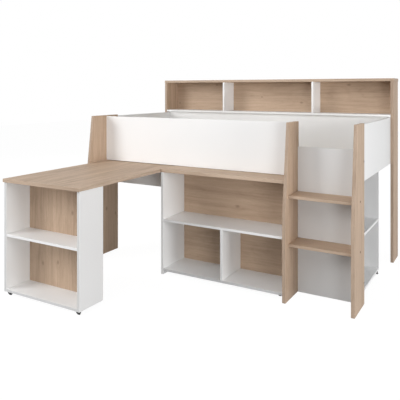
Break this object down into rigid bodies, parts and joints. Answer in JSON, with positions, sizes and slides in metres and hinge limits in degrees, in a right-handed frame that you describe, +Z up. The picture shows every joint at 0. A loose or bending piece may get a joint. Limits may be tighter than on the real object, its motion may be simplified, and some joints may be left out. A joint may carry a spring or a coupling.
{
  "type": "cabin bed",
  "caption": "Mid-height cabin bed in white and oak-look board, with a ladder, a rear shelf, a bookcase, an end niche and a desk on casters that rolls out from under the bed.",
  "frame": {"origin": "on the floor, below the middle of the bounding box with the desk rolled out", "axes": "+X to the right along the bed, +Y from the ladder side to the rear shelf, +Z up"},
  "size_m": [2.093, 2.11, 1.403],
  "materials": {
    "oak": "oak-look foil, matt, fine straight grain",
    "white_board": "white melamine-faced board, satin",
    "pine": "planed pine, unfinished",
    "black_plastic": "moulded, matt",
    "white_plastic": "moulded, matt",
    "screw_steel": "zinc-plated",
    "oak_cap": "moulded in the oak's colour, matt",
    "caster_steel": "bright-plated pressed steel",
    "caster_tyre": "moulded, satin"
  },
  "bodies": {
    "frame": {"upright_left": "oak", "ladder_upright_left": "oak", "ladder_upright_right": "oak", "tread_lower": "oak", "tread_upper": "oak", "rear_upright_left": "oak", "rear_upright_right": "oak", "rear_shelf_top": "oak", "rear_shelf_back": "oak", "case_top": "oak", "case_back": "oak", "ladder_panel": "white_board", "guard_panel": "white_board", "end_panel_left": "white_board", "end_panel_right": "white_board", "rear_panel": "white_board", "rear_shelf_floor": "white_board", "rear_divider_left": "white_board", "rear_divider_right": "white_board", "case_side_left": "white_board", "case_side_right": "white_board", "case_floor": "white_board", "case_shelf": "white_board", "case_divider": "white_board", "niche_floor": "white_board", "niche_shelf": "white_board", "niche_top": "white_board", "niche_back": "white_board", "niche_side": "white_board", "desk_apron": "white_board", "slat_rail_front": "pine", "slat_rail_rear": "pine", "slats": "pine", "case_feet": "black_plastic", "niche_feet": "black_plastic", "case_glides": "white_plastic", "joint_screws": "screw_steel", "short_screws": "screw_steel", "screw_caps": "oak_cap"},
    "desk": {"desk_top": "oak", "desk_side_left": "white_board", "desk_side_right": "white_board", "desk_floor": "white_board", "desk_shelf": "white_board", "desk_back": "oak", "desk_batten": "pine", "caster_plates": "caster_steel"},
    "caster_swivel_1": {"caster_fork_1": "black_plastic", "caster_axle_1": "caster_steel"},
    "caster_roll_1": {"caster_wheel_1": "caster_tyre"},
    "caster_swivel_2": {"caster_fork_2": "black_plastic", "caster_axle_2": "caster_steel"},
    "caster_roll_2": {"caster_wheel_2": "caster_tyre"},
    "caster_swivel_3": {"caster_fork_3": "black_plastic", "caster_axle_3": "caster_steel"},
    "caster_roll_3": {"caster_wheel_3": "caster_tyre"},
    "caster_swivel_4": {"caster_fork_4": "black_plastic", "caster_axle_4": "caster_steel"},
    "caster_roll_4": {"caster_wheel_4": "caster_tyre"}
  },
  "joints": [
    {"name": "desk_slide", "type": "slide", "parent": "frame", "child": "desk", "axis": [0, 1, 0], "range_m": [0, 0.83]},
    {"name": "caster_turn_1", "type": "hinge", "parent": "desk", "child": "caster_swivel_1", "pos_m": [-0.9685, -1.025, 0.0225], "axis": [0, 0, 1], "continuous": true},
    {"name": "caster_spin_1", "type": "hinge", "parent": "caster_swivel_1", "child": "caster_roll_1", "pos_m": [-0.9685, -1.017, 0.0105], "axis": [1, 0, 0], "continuous": true},
    {"name": "caster_turn_2", "type": "hinge", "parent": "desk", "child": "caster_swivel_2", "pos_m": [-0.3835, -1.025, 0.0225], "axis": [0, 0, 1], "continuous": true},
    {"name": "caster_spin_2", "type": "hinge", "parent": "caster_swivel_2", "child": "caster_roll_2", "pos_m": [-0.3835, -1.017, 0.0105], "axis": [1, 0, 0], "continuous": true},
    {"name": "caster_turn_3", "type": "hinge", "parent": "desk", "child": "caster_swivel_3", "pos_m": [-0.9365, -0.857, 0.0225], "axis": [0, 0, 1], "continuous": true},
    {"name": "caster_spin_3", "type": "hinge", "parent": "caster_swivel_3", "child": "caster_roll_3", "pos_m": [-0.9365, -0.849, 0.0105], "axis": [1, 0, 0], "continuous": true},
    {"name": "caster_turn_4", "type": "hinge", "parent": "desk", "child": "caster_swivel_4", "pos_m": [-0.4155, -0.857, 0.0225], "axis": [0, 0, 1], "continuous": true},
    {"name": "caster_spin_4", "type": "hinge", "parent": "caster_swivel_4", "child": "caster_roll_4", "pos_m": [-0.4155, -0.849, 0.0105], "axis": [1, 0, 0], "continuous": true}
  ]
}
